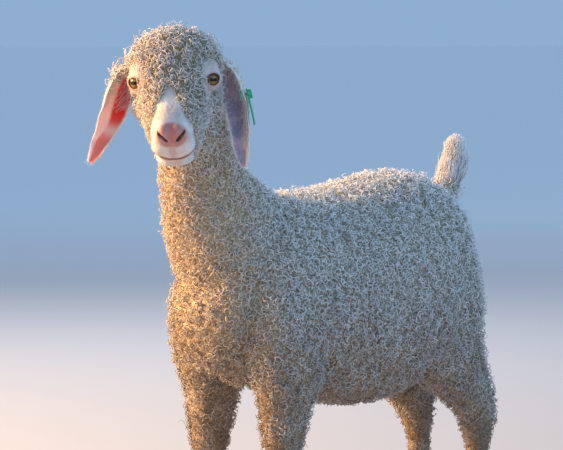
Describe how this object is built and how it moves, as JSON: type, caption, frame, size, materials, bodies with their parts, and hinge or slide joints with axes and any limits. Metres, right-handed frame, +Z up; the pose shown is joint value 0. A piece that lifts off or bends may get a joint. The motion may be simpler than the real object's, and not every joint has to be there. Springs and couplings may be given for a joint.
{
  "type": "angora goat",
  "caption": "Young hornless Angora goat standing with its head turned to its left, in a close coat of short curls, with drooping ears, an upright tail and a plain green ear tag.",
  "frame": {"origin": "on the floor under the middle of the goat's bounding box", "axes": "+Z up, the body faces -Y, its left side is at +X"},
  "size_m": [0.2759, 0.6055, 0.7128],
  "materials": {
    "fleece": "creamy white mohair in short curls",
    "face": "short white hair over pink skin, bare pink nose",
    "ear": "thin pink skin with fine white hair",
    "eye": "wet amber eye with a level dark pupil",
    "horn": "hoof horn, worn matte",
    "tag": "moulded flexible green plastic, unmarked"
  },
  "bodies": {
    "root": {"torso": "fleece", "neck": "fleece", "tail": "fleece", "foreleg_left_upper": "fleece", "foreleg_left_lower": "fleece", "foreleg_right_upper": "fleece", "foreleg_right_lower": "fleece", "hindleg_left_upper": "fleece", "hindleg_left_lower": "fleece", "hindleg_right_upper": "fleece", "hindleg_right_lower": "fleece", "head": "face", "ear_left": "ear", "ear_right": "ear", "eye_left": "eye", "eye_right": "eye", "hoof_foreleg_left_inner": "horn", "hoof_foreleg_left_outer": "horn", "hoof_foreleg_right_inner": "horn", "hoof_foreleg_right_outer": "horn", "hoof_hindleg_left_inner": "horn", "hoof_hindleg_left_outer": "horn", "hoof_hindleg_right_inner": "horn", "hoof_hindleg_right_outer": "horn", "ear_tag_flag": "tag", "ear_tag_stud": "tag"}
  },
  "joints": []
}
